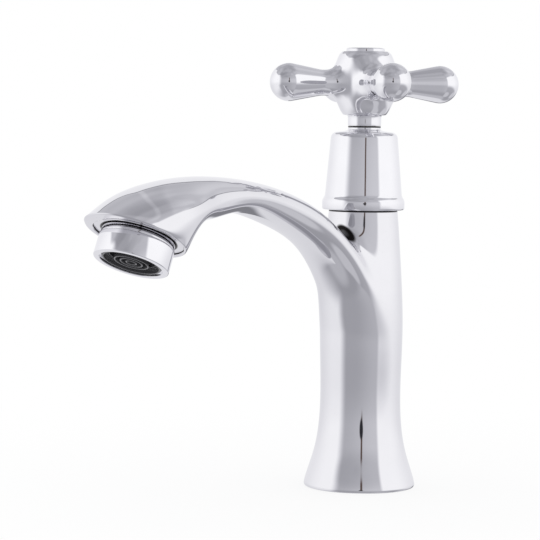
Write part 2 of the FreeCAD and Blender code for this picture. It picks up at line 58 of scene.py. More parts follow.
def addCamera():
    a, p, roll = (math.radians(camera[k]) for k in ("azimuth", "pitch", "roll"))
    ahead = Vector((-math.sin(a) * math.cos(p), math.cos(a) * math.cos(p), -math.sin(p)))
    level = Vector((math.cos(a), math.sin(a), 0))
    upright = level.cross(ahead)
    right = level * math.cos(roll) + upright * math.sin(roll)
    up = upright * math.cos(roll) - level * math.sin(roll)
    data = bpy.data.cameras.new("photoCamera")
    data.lens, data.sensor_width = camera["lens"], camera["sensor"]
    data.clip_start, data.clip_end = camera["clip"]
    obj = bpy.data.objects.new("photoCamera", data)
    scene.collection.objects.link(obj)
    turn = Matrix((right, up, -ahead)).transposed()
    obj.matrix_world = Matrix.Translation(Vector(camera["place"]) * mm) @ turn.to_4x4()
    scene.camera = obj


addCamera()
scene.view_settings.view_transform = "Standard"
print("camera set")


# node helpers
def addNode(tree, kind, values=None, **settings):
    node = tree.nodes.new(kind)
    for key, value in settings.items():
        setattr(node, key, value)
    for key, value in (values or {}).items():
        if isinstance(value, bpy.types.NodeSocket):
            tree.links.new(value, node.inputs[key])
        else:
            node.inputs[key].default_value = value
    return node


def mathNode(tree, operation, *values):
    return addNode(tree, "ShaderNodeMath", dict(enumerate(values)), operation=operation).outputs[0]


def easeNode(tree, value, low, high, start=0.0, end=1.0):
    values = {"Value": value, "From Min": low, "From Max": high, "To Min": start, "To Max": end}
    return addNode(tree, "ShaderNodeMapRange", values, interpolation_type="SMOOTHSTEP").outputs[0]


def mixColour(tree, share, first, second, blend="MIX"):
    node = addNode(tree, "ShaderNodeMix", {0: share, 6: first, 7: second}, data_type="RGBA", blend_type=blend)
    return node.outputs[2]


def mixTone(tree, share, first, second):
    return addNode(tree, "ShaderNodeMix", {0: share, 2: first, 3: second}).outputs[0]


def noiseNode(tree, place, scale, detail=3.0, roughness=0.55):
    values = {"Vector": place, "Scale": scale, "Detail": detail, "Roughness": roughness}
    return addNode(tree, "ShaderNodeTexNoise", values).outputs["Fac"]


def newFinish(name):
    material = bpy.data.materials.new(name)
    material.use_nodes = True
    tree = material.node_tree
    shader = tree.nodes["Principled BSDF"]
    place = addNode(tree, "ShaderNodeTexCoord").outputs["Object"]
    return material, tree, shader, place


# polished plating: a soft waviness under the polish, faint haze where it has been wiped,
# and, where a mask is given, painted shade and painted dark reflections
def platedFinish(name, look, paintedShade=None):
    material, tree, shader, place = newFinish(name)
    haze = noiseNode(tree, place, look["hazeScale"], detail=4.0, roughness=0.6)
    colour = mixColour(tree, haze, look["deep"], look["pale"])
    rough = easeNode(tree, haze, 0.3, 0.75, look["polish"], look["wiped"])
    # painted shade: the mask mixes a dark colour and a duller roughness into the plating where shade and dark
    # reflections are painted
    if paintedShade:
        dark = paintedShade(tree, place)
        colour = mixColour(tree, dark, colour, look["paintedShade"])
        rough = mixTone(tree, dark, rough, look["paintedShadeRoughness"])
    wave = noiseNode(tree, place, look["waveScale"], detail=1.0, roughness=0.4)
    bump = addNode(tree, "ShaderNodeBump", {
        "Strength": look["wave"], "Distance": look["waveDepth"], "Height": wave})
    shader.inputs["Metallic"].default_value = 1.0
    tree.links.new(colour, shader.inputs["Base Color"])
    tree.links.new(rough, shader.inputs["Roughness"])
    tree.links.new(bump.outputs[0], shader.inputs["Normal"])
    return material


# turned or rolled metal: fine rings or grain that catch the light
def turnedFinish(name, look):
    material, tree, shader, place = newFinish(name)
    stretch = addNode(tree, "ShaderNodeMapping", {"Vector": place, "Scale": look["grain"]}).outputs[0]
    grain = noiseNode(tree, stretch, look["scale"], detail=4.0, roughness=0.65)
    patch = noiseNode(tree, place, look["patchScale"])
    colour = mixColour(tree, patch, look["deep"], look["pale"])
    rough = easeNode(tree, grain, 0.3, 0.7, look["polish"], look["dull"])
    bump = addNode(tree, "ShaderNodeBump", {"Strength": 0.25, "Distance": 0.00004, "Height": grain})
    shader.inputs["Metallic"].default_value = 1.0
    tree.links.new(colour, shader.inputs["Base Color"])
    tree.links.new(rough, shader.inputs["Roughness"])
    tree.links.new(bump.outputs[0], shader.inputs["Normal"])
    return material


# rubber, nylon, ceramic and moulded plastic
def mouldedFinish(name, look):
    material, tree, shader, place = newFinish(name)
    patch = noiseNode(tree, place, look["patchScale"], detail=4.0)
    speck = noiseNode(tree, place, look["speckScale"], detail=2.0, roughness=0.7)
    colour = mixColour(tree, patch, look["deep"], look["pale"])
    rough = easeNode(tree, speck, 0.3, 0.7, look["polish"], look["dull"])
    bump = addNode(tree, "ShaderNodeBump", {
        "Strength": look["bump"], "Distance": 0.00005, "Height": speck})
    tree.links.new(colour, shader.inputs["Base Color"])
    tree.links.new(rough, shader.inputs["Roughness"])
    tree.links.new(bump.outputs[0], shader.inputs["Normal"])
    return material


turnedPlating = platedFinish("turnedPlating", {
    "deep": (0.84, 0.837, 0.86, 1), "pale": (0.89, 0.887, 0.91, 1),
    "hazeScale": 110, "polish": 0.025, "wiped": 0.06,
    "waveScale": 90, "wave": 0.2, "waveDepth": 0.0002,
})
turnedBrass = turnedFinish("turnedBrass", {
    "deep": (0.60, 0.44, 0.18, 1), "pale": (0.78, 0.62, 0.33, 1),
    "grain": (20, 20, 900), "scale": 4, "patchScale": 120, "polish": 0.22, "dull": 0.4,
})
springSteel = turnedFinish("springSteel", {
    "deep": (0.50, 0.50, 0.51, 1), "pale": (0.64, 0.64, 0.65, 1),
    "grain": (60, 60, 700), "scale": 4, "patchScale": 200, "polish": 0.25, "dull": 0.42,
})
sealRubber = mouldedFinish("sealRubber", {
    "deep": (0.018, 0.018, 0.02, 1), "pale": (0.045, 0.045, 0.048, 1),
    "patchScale": 160, "speckScale": 2600, "polish": 0.55, "dull": 0.8, "bump": 0.5,
})
lappedCeramic = mouldedFinish("lappedCeramic", {
    "deep": (0.82, 0.80, 0.76, 1), "pale": (0.90, 0.89, 0.86, 1),
    "patchScale": 220, "speckScale": 3000, "polish": 0.12, "dull": 0.24, "bump": 0.1,
})
naturalNylon = mouldedFinish("naturalNylon", {
    "deep": (0.76, 0.74, 0.68, 1), "pale": (0.86, 0.85, 0.81, 1),
    "patchScale": 180, "speckScale": 2200, "polish": 0.4, "dull": 0.58, "bump": 0.25,
})
insertPlastic = mouldedFinish("insertPlastic", {
    "deep": (0.13, 0.13, 0.14, 1), "pale": (0.20, 0.20, 0.21, 1),
    "patchScale": 240, "speckScale": 2400, "polish": 0.35, "dull": 0.55, "bump": 0.2,
})
# dark plastic of the aerator's nose and rings, made darker still as painted shade for the recess in the outlet
nosePlasticAndShade = mouldedFinish("nosePlasticAndShade", {
    "deep": (0.045, 0.045, 0.05, 1), "pale": (0.075, 0.075, 0.08, 1),
    "patchScale": 240, "speckScale": 2400, "polish": 0.12, "dull": 0.25, "bump": 0.1,
})
slotFinish = {
    "chrome": turnedPlating, "brass": turnedBrass, "rubber": sealRubber, "ceramic": lappedCeramic,
    "steel": springSteel, "nylon": naturalNylon, "insert_plastic": insertPlastic,
}
for part in frame["record"]["subparts"]:
    mesh = frame["nodes"][part["node"]].data
    mesh.materials.clear()
    mesh.materials.append(slotFinish[part["material_slot"]])
print("finishes made")


# shared modelling steps
def finishPiece(bm, name, finish, body, nodes, levels=0, sharpAbove=50):
    bmesh.ops.remove_doubles(bm, verts=bm.verts, dist=weld)
    bmesh.ops.recalc_face_normals(bm, faces=bm.faces)
    crease = bm.edges.layers.float.new("crease_edge")
    for edge in bm.edges:
        if len(edge.link_faces) == 2 and math.degrees(edge.calc_face_angle(0)) > sharpAbove:
            edge[crease] = 1.0
            edge.smooth = False
    for face in bm.faces:
        face.smooth = True
    bmesh.ops.scale(bm, vec=(mm, mm, mm), verts=bm.verts)
    mesh = bpy.data.meshes.new(name)
    bm.to_mesh(mesh)
    bm.free()
    mesh.materials.append(finish)
    piece = bpy.data.objects.new(name, mesh)
    scene.collection.objects.link(piece)
    if levels:
        smoother = piece.modifiers.new("rounding", "SUBSURF")
        smoother.levels = smoother.render_levels = levels
    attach(piece, body)
    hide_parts(*nodes)
    print("made", name, len(mesh.polygons), "faces")


# smooth curve through rows of numbers, with the directions at its two ends where they are given
def curveThrough(rows, count, start=None, end=None):
    rows = np.array(rows, float)
    last = len(rows) - 1
    gaps = np.linalg.norm(np.diff(rows, axis=0), axis=1)
    knots = np.concatenate([[0], np.cumsum(gaps)])
    slopes = np.diff(rows, axis=0) / gaps[:, None]
    system, right = np.eye(last + 1), np.zeros_like(rows)
    for i in range(1, last):
        system[i, i - 1:i + 2] = gaps[i - 1], 2 * (gaps[i - 1] + gaps[i]), gaps[i]
        right[i] = 6 * (slopes[i] - slopes[i - 1])
    if start is not None:
        system[0, :2] = 2 * gaps[0], gaps[0]
        right[0] = 6 * (slopes[0] - np.array(start) / np.linalg.norm(start))
    if end is not None:
        system[last, -2:] = gaps[-1], 2 * gaps[-1]
        right[last] = 6 * (np.array(end) / np.linalg.norm(end) - slopes[-1])
    bend = np.linalg.solve(system, right)
    along = np.linspace(0, knots[-1], count)
    i = np.clip(np.searchsorted(knots, along) - 1, 0, last - 1)
    gap = gaps[i][:, None]
    a = (knots[i + 1] - along)[:, None] / gap
    b = 1 - a
    bow = (a ** 3 - a) * bend[i] + (b ** 3 - b) * bend[i + 1]
    return a * rows[i] + b * rows[i + 1] + bow * gap ** 2 / 6


def addLoop(bm, segments, matrix):
    made = bmesh.ops.create_circle(bm, cap_ends=False, segments=segments, radius=1.0, matrix=matrix)
    return list({edge for vert in made["verts"] for edge in vert.link_edges})


def levelLoop(radius, height):
    return Matrix.Translation((0, 0, height)) @ Matrix.Diagonal((radius, radius, 1, 1))


# draws a loop through a row of places and returns the loop left at each
def sweepLoop(bm, segments, places):
    loops = [addLoop(bm, segments, places[0])]
    for here, there in zip(places, places[1:]):
        made = bmesh.ops.extrude_edge_only(bm, edges=loops[-1])["geom"]
        verts = {item for item in made if isinstance(item, bmesh.types.BMVert)}
        bmesh.ops.transform(bm, matrix=there @ here.inverted(), verts=list(verts))
        edges = [item for item in made if isinstance(item, bmesh.types.BMEdge)]
        loops.append([edge for edge in edges if verts.issuperset(edge.verts)])
    return loops


# opens a window in a skin and returns its edges
def openWindow(bm, inside):
    faces = [face for face in bm.faces if inside(face.calc_center_median())]
    rim = {edge for face in faces for edge in face.edges}
    doomed = set(faces)
    rim = [edge for edge in rim if any(face not in doomed for face in edge.link_faces)]
    bmesh.ops.delete(bm, geom=faces, context="FACES")
    return rim


# bridges a window to the first loop of a branch, in rows
def joinBranch(bm, window, loop, rows):
    made = bmesh.ops.bridge_loops(bm, edges=window + loop)
    ends = set(window) | set(loop)
    lengthwise = list({edge for face in made["faces"] for edge in face.edges} - ends)
    cut = bmesh.ops.subdivide_edges(bm, edges=lengthwise, cuts=rows, use_grid_fill=True)
    return [item for item in cut["geom_inner"] if isinstance(item, bmesh.types.BMVert)]


def smoothStep(value, low, high):
    share = np.clip((value - low) / (high - low), 0, 1)
    return share ** 2 * (3 - 2 * share)


def softUnion(first, second, width):
    near = np.maximum(width - np.abs(first - second), 0) / width
    return np.minimum(first, second) - near ** 2 * width / 4


# moves vertices onto the surface where the field is nought
def settle(verts, field, rounds=5, step=0.02, leastSlope=0.05):
    points = np.array([vert.co for vert in verts])
    for number in range(rounds):
        value = field(points)
        slope = np.stack([
            (field(points + step * axis) - field(points - step * axis)) / (2 * step) for axis in np.eye(3)], 1)
        points = points - slope * (value / np.maximum((slope ** 2).sum(1), leastSlope))[:, None]
    for vert, point in zip(verts, points):
        vert.co = point


# evens out the loose vertices and lays them back on the surface, again and again
def relax(bm, loose, settled, field, rounds, passes=4):
    for number in range(rounds):
        for again in range(passes):
            bmesh.ops.smooth_vert(
                bm, verts=loose, factor=0.5, use_axis_x=True, use_axis_y=True, use_axis_z=True)
        settle(settled, field)


# profile of (radius, height, corner round) turned about the Z axis
def turnProfile(bm, profile, steps, closed=True):
    before = set(bm.verts)
    verts = [bm.verts.new((radius, 0, height)) for radius, height, rounding in profile]
    for first, second in zip(verts, verts[1:] + (verts[:1] if closed else [])):
        bm.edges.new((first, second))
    for vert, (radius, height, rounding) in zip(verts, profile):
        if rounding:
            bmesh.ops.bevel(
                bm, geom=[vert], offset=rounding, offset_type="OFFSET", affect="VERTICES",
                segments=5, profile=0.5, material=-1)
    drawn = [vert for vert in bm.verts if vert not in before]
    lines = list({edge for vert in drawn for edge in vert.link_edges})
    bmesh.ops.spin(
        bm, geom=drawn + lines, cent=(0, 0, 0), axis=(0, 0, 1), angle=2 * math.pi, steps=steps, use_merge=True)
    bmesh.ops.remove_doubles(bm, verts=bm.verts, dist=weld)


# tap body: column and spout in one casting
body = {
    "segments": 48,
    "flank": [(19.7, 1.0), (16.6, 11.2), (14.35, 26.0), (14.65, 56.0), (13.6, 79.0), (12.1, 97.9)],
    "footSlope": (-0.2, 1), "topSlope": (-0.1, 1),
    # rows of (radius, height) round the turned part: rim, heights on the flank, foot, underside and bore
    "rim": [(10.45, 97.9), (11.75, 97.9), (12.05, 97.75)],
    "topHeights": (97.3, 95.2), "lowHeights": (50, 4, 14), "footHeight": 2.0,
    "foot": [(19.7, 1.0), (19.62, 0.45), (19.3, 0.08), (18.9, 0.0)],
    "underside": [(17.45, 0), (17.45, 2.0), (12.35, 2.0), (12.35, 0), (9.3, 0), (9.3, 15), (8.0, 15)],
    "bore": [(8.0, 70), (5.0, 70), (5.0, 74), (9.4, 74), (9.4, 84.4), (10.45, 84.4)],
    "windowLow": 54.0, "windowHigh": 93.0, "windowRows": 10, "windowHalf": 7, "outside": 10.6,
    # distance out, height, lean, thickness and width of the spout
    "spout": [
        (2.97, 55.9, 60.0, 16.0, 22.0), (9.69, 69.9, 50.5, 14.6, 22.0), (19.90, 81.7, 39.0, 13.0, 20.4),
        (33.73, 91.5, 23.0, 12.4, 19.0), (56.35, 99.9, 15.2, 12.0, 20.0), (85.05, 104.6, -24.5, 12.9, 23.6),
        (104.69, 103.6, -46.2, 19.3, 27.0), (119.94, 100.5, -57.5, 23.0, 33.4),
        (130.70, 92.82, -65.3, 35.6, 31.6),
    ],
    "spoutSteps": 64, "firstStep": 13, "joinRows": 9,
    # width of the blend at the root and in the crotch, and the heights where it grows
    "rootBlend": 4.5, "rootFrom": (46, 60), "crotchBlend": 8.0, "crotchFrom": (76, 90), "sharpest": 0.01,
    "settleHeight": (45, 97), "settleBack": (-40, 0), "settleRounds": 6,
    "outlet": (0, -129.25, 92.15), "tilt": 24.7,
    # half width, half length, lead and depth of the oval lip, then radius and depth of what is round
    "lip": [(15.74, 17.58, 1.6, 0.4), (15.42, 17.26, 1.6, 0.03), (15.2, 17.02, 1.6, 0.0)],
    "mouth": [
        (14.75, 0.0), (14.52, 0.15), (14.52, 0.8), (11.72, 0.8), (11.72, -1.25), (11.6, -1.4), (10.9, -1.4),
        (10.9, -3.8), (10.6, -4.1), (8.7, -4.1), (8.7, 4.0),
    ],
    # painted shade in the corners of the groove, a painted shadow under the shroud, and a painted dark
    # reflection in the crease of the crotch
    "grooveDark": (0.38, 0.52), "grooveDeep": (0.45, 0.58), "grooveEnd": (1.0, 1.2),
    "grooveInner": (12.5, 12.1), "grooveOuter": (14.26, 14.4), "grooveWall": (14.6, 14.56),
    "lineFrom": (97.15, 97.4), "lineFront": (-16, -14),
    "crease": (0.9, -12.9, 89.4), "creaseLean": 36, "creaseSize": (5.6, 2.6, 3.0),
    "creaseDark": (1.0, 0.74), "creasePale": (0.2, 0.55), "creaseCore": 0.82,
    "fineSteps": 400,
}
flank = curveThrough(body["flank"], body["fineSteps"], body["footSlope"], body["topSlope"])
outletPlace = Matrix.Translation(body["outlet"]) @ Matrix.Rotation(math.radians(-body["tilt"]), 4, "X")


# painted shade on the cast body: painted shadow in the outlet's groove and under the shroud, and a painted
# dark reflection in the crotch
def castPaintedShade(tree, place):
    def eased(value, key, *ends):
        return easeNode(tree, value, *(mm * edge for edge in body[key]), *ends)

    # painted shade in the corners of the groove, next to the collar and under the lip's edge, in the outlet's
    # own frame
    local = addNode(tree, "ShaderNodeMapping", {
        "Vector": place, "Location": Vector(body["outlet"]) * mm,
        "Rotation": (math.radians(-body["tilt"]), 0, 0),
    }, vector_type="TEXTURE").outputs[0]
    depth = addNode(tree, "ShaderNodeSeparateXYZ", {0: local}).outputs["Z"]
    flat = addNode(tree, "ShaderNodeVectorMath", {0: local, 1: (1, 1, 0)}, operation="MULTIPLY").outputs[0]
    radius = addNode(tree, "ShaderNodeVectorMath", {0: flat}, operation="LENGTH").outputs["Value"]
    inner = mathNode(tree, "MULTIPLY", eased(radius, "grooveInner"), eased(depth, "grooveDark"))
    outer = mathNode(tree, "MULTIPLY", eased(radius, "grooveOuter"), eased(depth, "grooveDeep"))
    within = mathNode(tree, "MULTIPLY", eased(radius, "grooveWall"), eased(depth, "grooveEnd", 1.0, 0.0))
    groove = mathNode(tree, "MULTIPLY", mathNode(tree, "MAXIMUM", inner, outer), within)
    # painted shadow in a line under the shroud
    whole = addNode(tree, "ShaderNodeSeparateXYZ", {0: place}).outputs
    line = mathNode(tree, "MULTIPLY", eased(whole["Z"], "lineFrom"), eased(whole["Y"], "lineFront"))
    # painted dark reflection in the crease of the crotch, a little paler in its middle
    crease = addNode(tree, "ShaderNodeMapping", {
        "Vector": place, "Location": Vector(body["crease"]) * mm, "Scale": Vector(body["creaseSize"]) * mm,
        "Rotation": (0, math.radians(body["creaseLean"]), 0),
    }, vector_type="TEXTURE").outputs[0]
    reach = addNode(tree, "ShaderNodeVectorMath", {0: crease}, operation="LENGTH").outputs["Value"]
    spot = mathNode(
        tree, "MULTIPLY", easeNode(tree, reach, *body["creaseDark"]),
        easeNode(tree, reach, *body["creasePale"], body["creaseCore"], 1.0))
    return mathNode(tree, "MAXIMUM", mathNode(tree, "MAXIMUM", groove, line), spot)


# plating of the cast body, with painted shade and a painted dark reflection from the mask above
castPlating = platedFinish("castPlating", {
    "deep": (0.78, 0.776, 0.80, 1), "pale": (0.83, 0.826, 0.85, 1),
    "hazeScale": 70, "polish": 0.02, "wiped": 0.05,
    "waveScale": 55, "wave": 0.35, "waveDepth": 0.0004,
    "paintedShade": (0.016, 0.014, 0.014, 1), "paintedShadeRoughness": 0.35,
}, castPaintedShade)


# the sections' own corners are what the curve runs through
def spoutCurve(count):
    out, height, lean, thickness, width = np.array(body["spout"]).T
    lean = np.radians(lean)
    corners = [out, height, thickness / 2 * np.sin(lean), thickness / 2 * np.cos(lean), width / 2]
    out, height, back, up, side = curveThrough(np.stack(corners, 1), count).T
    return np.stack([out, height, np.degrees(np.arctan2(back, up)), 2 * np.hypot(back, up), 2 * side], 1)


spoutRows = spoutCurve(body["spoutSteps"])
spoutFine = spoutCurve(body["fineSteps"])


def columnRadius(height):
    return np.interp(height, flank[:, 1], flank[:, 0])


def spoutLoop(row):
    out, height, lean, thickness, width = row
    lean = math.radians(lean)
    rise = Vector((0, math.sin(lean), math.cos(lean))) * thickness / 2
    side = Vector((width / 2, 0, 0))
    ahead = Vector((0, -math.cos(lean), math.sin(lean)))
    turn = Matrix((side, rise, ahead)).transposed().to_4x4()
    return Matrix.Translation((0, -out, height)) @ turn


# how far points are from the spout's skin, by the section that stands nearest to each
def spoutDistance(points):
    out, height, lean, thickness, width = spoutFine.T
    lean = np.radians(lean)
    back, up = points[:, 1, None] + out, points[:, 2, None] - height
    ahead = -back * np.cos(lean) + up * np.sin(lean)
    reach = np.hypot(back, up)
    best = np.clip(np.argmin(np.abs(ahead) + 0.05 * reach, axis=1), 1, len(out) - 2)
    each = np.arange(len(points))
    here = ahead[each, best]
    other = np.where(here > 0, best + 1, best - 1)
    there = ahead[each, other]
    share = np.clip(here / np.where(np.abs(here - there) < 1e-9, 1e-9, here - there), 0, 1)
    row = spoutFine[best] * (1 - share)[:, None] + spoutFine[other] * share[:, None]
    tilt = np.radians(row[:, 2])
    rise = (points[:, 1] + row[:, 0]) * np.sin(tilt) + (points[:, 2] - row[:, 1]) * np.cos(tilt)
    size = np.maximum(np.hypot(rise, points[:, 0]), 1e-6)
    grow = np.hypot(rise / (row[:, 3] / 2), points[:, 0] / (row[:, 4] / 2))
    return size * (1 - 1 / np.maximum(grow, 1e-3))


def bodyField(points):
    column = np.hypot(points[:, 0], points[:, 1]) - columnRadius(points[:, 2])
    grow = smoothStep(points[:, 2], *body["crotchFrom"])
    width = body["rootBlend"] + (body["crotchBlend"] - body["rootBlend"]) * grow
    width = np.maximum(width * smoothStep(points[:, 2], *body["rootFrom"]), body["sharpest"])
    return softUnion(column, spoutDistance(points), width)


def makeTapBody():
    bm = bmesh.new()
    segments = body["segments"]
    rows = np.linspace(body["windowHigh"], body["windowLow"], body["windowRows"] + 1)
    heights = [*body["topHeights"], *rows, *np.linspace(*body["lowHeights"]), body["footHeight"]]
    flankRows = [(float(columnRadius(height)), float(height)) for height in heights]
    skin = body["rim"] + flankRows + body["foot"] + body["underside"] + body["bore"]
    turnProfile(bm, [(*row, 0) for row in skin], segments)
    halfAngle = math.radians(body["windowHalf"] * 360 / segments)

    def inWindow(center):
        onFront = abs(math.atan2(center.x, -center.y)) < halfAngle and center.xy.length > body["outside"]
        return onFront and body["windowLow"] < center.z < body["windowHigh"]

    window = openWindow(bm, inWindow)
    # spout, then lip, groove, collar, threaded nipple and the mouth of the waterway
    lip = [
        Matrix.Translation((0, -lead, depth)) @ Matrix.Diagonal((side, length, 1, 1))
        for side, length, lead, depth in body["lip"]]
    mouth = lip + [levelLoop(*row) for row in body["mouth"]]
    facing = Matrix.Rotation(math.pi, 4, "X")  # the outlet's own frame looks up into the spout
    places = [spoutLoop(row) for row in spoutRows[body["firstStep"]:-1]]
    loops = sweepLoop(bm, segments, places + [outletPlace @ place @ facing for place in mouth])
    bmesh.ops.edgeloop_fill(bm, edges=loops[-1])
    loose = joinBranch(bm, window, loops[0], body["joinRows"])
    (low, high), (front, back) = body["settleHeight"], body["settleBack"]
    near = [
        vert for vert in bm.verts
        if low < vert.co.z < high and front < vert.co.y < back and vert.co.xy.length > body["outside"]]
    relax(bm, loose, near, bodyField, body["settleRounds"])
    finishPiece(bm, "tapBody", castPlating, "tap", ["tap_body"], levels=2)


makeTapBody()


# shroud: collar, tapered side, rounded shoulder and neck
shroud = {
    "steps": 128,
    "profile": [
        (11.65, 97.9, 0), (14.5, 97.9, 0.7), (14.5, 101.4, 0.9), (13.55, 102.6, 0.8), (11.6, 125.1, 2.0),
        (9.6, 125.12, 0), (8.3, 125.22, 0.6), (6.8, 125.5, 0.6), (5.7, 125.9, 0.3), (5.7, 126.75, 0.15),
        (4.4, 126.75, 0), (4.4, 123.3, 0), (9.8, 123.3, 0), (10.4, 102.4, 0), (11.65, 102.4, 0),
    ],
}
bm = bmesh.new()
turnProfile(bm, shroud["profile"], shroud["steps"])
finishPiece(bm, "bonnetShroud", turnedPlating, "tap", ["bonnet_shroud"], sharpAbove=40)


# rubber ring in the gap under the handle; its dark rubber also stands in for the shade in that gap
dustRingAndShade = {
    "steps": 96,
    "profile": [(4.05, 126.75, 0), (5.77, 126.75, 0.12), (5.77, 127.15, 0.12), (4.05, 127.15, 0)],
}
bm = bmesh.new()
turnProfile(bm, dustRingAndShade["profile"], dustRingAndShade["steps"])
finishPiece(bm, "dustRingAndShade", sealRubber, "tap", ["dust_ring"])


# cross handle: hub and four ball-ended arms in one piece
handle = {
    "segments": 48, "firstArm": 51.2, "arms": 4, "armHeight": 142.2,
    "flank": [(7.55, 131.1), (10.4, 142.2), (8.4, 153.3)], "footSlope": (0.9, 1), "crownSlope": (-0.9, 1),
    "fineSteps": 200,
    # rows of (radius, height) round the hub: skirt, heights on the flank, crown and socket
    "skirt": [(5.87, 127.5), (5.87, 130.2), (5.95, 130.75), (6.25, 130.98), (7.1, 131.02), (7.5, 131.12)],
    "lowHeights": (131.6, 132.8), "topHeights": (151.6, 152.5),
    "crown": [(8.45, 152.95), (8.3, 153.22), (8.0, 153.3), (7.05, 153.3), (6.85, 153.2), (6.8, 153.0)],
    "socket": [
        (6.8, 151.3), (5.2, 151.3), (5.2, 143.3), (2.0, 143.3), (2.0, 139.8), (4.0, 139.8), (4.0, 127.2),
        (5.6, 127.2), (5.8, 127.28),
    ],
    "windowLow": 134.2, "windowHigh": 150.2, "windowRows": 8, "windowHalf": 4, "outside": 6.9,
    "neck": 4.55, "neckEnd": 16.3, "neckBend": 0.4, "reach": 28.0, "ball": 6.695,
    "firstRing": 15.0, "coneRings": 6, "ballRings": 16, "lastRing": 7, "joinRows": 5, "rootBlend": 4.4,
    "settleHeight": (131.5, 152.6), "settleReach": (7.2, 17), "settleSide": 0.65, "settleRounds": 5,
}
hubFlank = curveThrough(handle["flank"], handle["fineSteps"], handle["footSlope"], handle["crownSlope"])
ballTaper = math.asin((handle["ball"] - handle["neck"]) / (handle["reach"] - handle["neckEnd"]))


def hubRadius(height):
    return np.interp(height, hubFlank[:, 1], hubFlank[:, 0])


# neck, cone and ball as one row of (reach, radius)
def armProfile():
    neck, neckEnd, bend = handle["neck"], handle["neckEnd"], handle["neckBend"]

    def onBall(angle):
        return handle["reach"] + handle["ball"] * math.cos(angle), handle["ball"] * math.sin(angle)

    startAngle = math.pi / 2 + ballTaper
    coneStart = np.array((neckEnd + bend, neck + bend * math.tan(ballTaper)))
    coneEnd = np.array(onBall(startAngle))
    row = [(handle["firstRing"], neck), (neckEnd - bend, neck)]
    for share in np.linspace(0, 1, handle["coneRings"]):
        row.append(tuple(coneStart * (1 - share) + coneEnd * share))
    angles = np.linspace(startAngle, math.radians(handle["lastRing"]), handle["ballRings"])
    return row + [onBall(angle) for angle in angles[1:]]


def handleField(points):
    height = points[:, 2]
    hub = np.hypot(points[:, 0], points[:, 1]) - hubRadius(height)
    nearest = np.full(len(points), np.inf)
    for number in range(handle["arms"]):
        turn = number * 2 * math.pi / handle["arms"]
        along = points[:, 0] * math.cos(turn) + points[:, 1] * math.sin(turn)
        across = points[:, 1] * math.cos(turn) - points[:, 0] * math.sin(turn)
        around = np.hypot(across, height - handle["armHeight"])
        cone = np.maximum(along - handle["neckEnd"], 0) * math.tan(ballTaper)
        arm = np.where(along > 0, around - handle["neck"] - cone, np.inf)
        nearest = np.minimum(nearest, arm)
    return softUnion(hub, nearest, handle["rootBlend"])


def makeHandle():
    bm = bmesh.new()
    segments = handle["segments"]
    rows = np.linspace(handle["windowLow"], handle["windowHigh"], handle["windowRows"] + 1)
    heights = [*handle["lowHeights"], *rows, *handle["topHeights"]]
    flankRows = [(float(hubRadius(height)), float(height)) for height in heights]
    skin = handle["skirt"] + flankRows + handle["crown"] + handle["socket"]
    turnProfile(bm, [(*row, 0) for row in skin], segments)
    halfAngle = math.radians(handle["windowHalf"] * 360 / segments)
    lift = Vector((0, 0, handle["armHeight"]))
    (low, high), (near, far) = handle["settleHeight"], handle["settleReach"]
    profile = armProfile()
    for number in range(handle["arms"]):
        turn = number * 2 * math.pi / handle["arms"]
        ahead = Vector((math.cos(turn), math.sin(turn), 0))

        def inWindow(center):
            if center.xy.length < handle["outside"]:
                return False
            onArm = center.xy.normalized().dot(ahead.xy) > math.cos(halfAngle)
            return onArm and handle["windowLow"] < center.z < handle["windowHigh"]

        window = openWindow(bm, inWindow)
        outward = Matrix.Rotation(turn, 4, "Z") @ Matrix.Rotation(math.pi / 2, 4, "Y")
        places = [Matrix.Translation(lift) @ outward @ levelLoop(radius, reach) for reach, radius in profile]
        loops = sweepLoop(bm, len(window), places)
        cap = bmesh.ops.edgeloop_fill(bm, edges=loops[-1])["faces"]
        tip = bmesh.ops.poke(bm, faces=cap)["verts"][0]
        tip.co = ahead * (handle["reach"] + handle["ball"]) + lift
        loose = joinBranch(bm, window, loops[0], handle["joinRows"])
        root = [
            vert for vert in bm.verts
            if low < vert.co.z < high and near < vert.co.xy.length < far
            and vert.co.xy.normalized().dot(ahead.xy) > handle["settleSide"]]
        relax(bm, loose, root, handleField, handle["settleRounds"])
    bmesh.ops.rotate(
        bm, verts=bm.verts, cent=(0, 0, 0), matrix=Matrix.Rotation(math.radians(handle["firstArm"]), 3, "Z"))
    finishPiece(bm, "crossHandle", turnedPlating, "handle", ["cross_handle"], levels=2)


makeHandle()


# plain cap on the hub
capDisc = {
    "steps": 128,
    "profile": [
        (0, 154.5, 0), (6.75, 154.5, 0.5), (6.75, 151.3, 0), (5.15, 151.3, 0), (5.15, 147.3, 0),
        (4.05, 147.3, 0), (4.05, 151.3, 0), (0, 151.3, 0),
    ],
}
bm = bmesh.new()
turnProfile(bm, capDisc["profile"], capDisc["steps"], closed=False)
finishPiece(bm, "capDisc", turnedPlating, "handle", ["index_cap"], sharpAbove=40)


# screw-on sleeve of the aerator
sleeve = {
    "steps": 128,
    "profile": [
        (10.95, -1.4, 0), (11.92, -1.4, 0.2), (11.92, -8.57, 0.3), (10.02, -8.57, 0.15), (10.02, -7.7, 0),
        (9.5, -7.7, 0.1), (9.5, -6.7, 0), (10.95, -6.7, 0),
    ],
}
bm = bmesh.new()
turnProfile(bm, sleeve["profile"], sleeve["steps"])
bmesh.ops.transform(bm, matrix=outletPlace, verts=bm.verts)
finishPiece(bm, "aeratorSleeve", turnedPlating, "tap", ["aerator_sleeve"], sharpAbove=40)


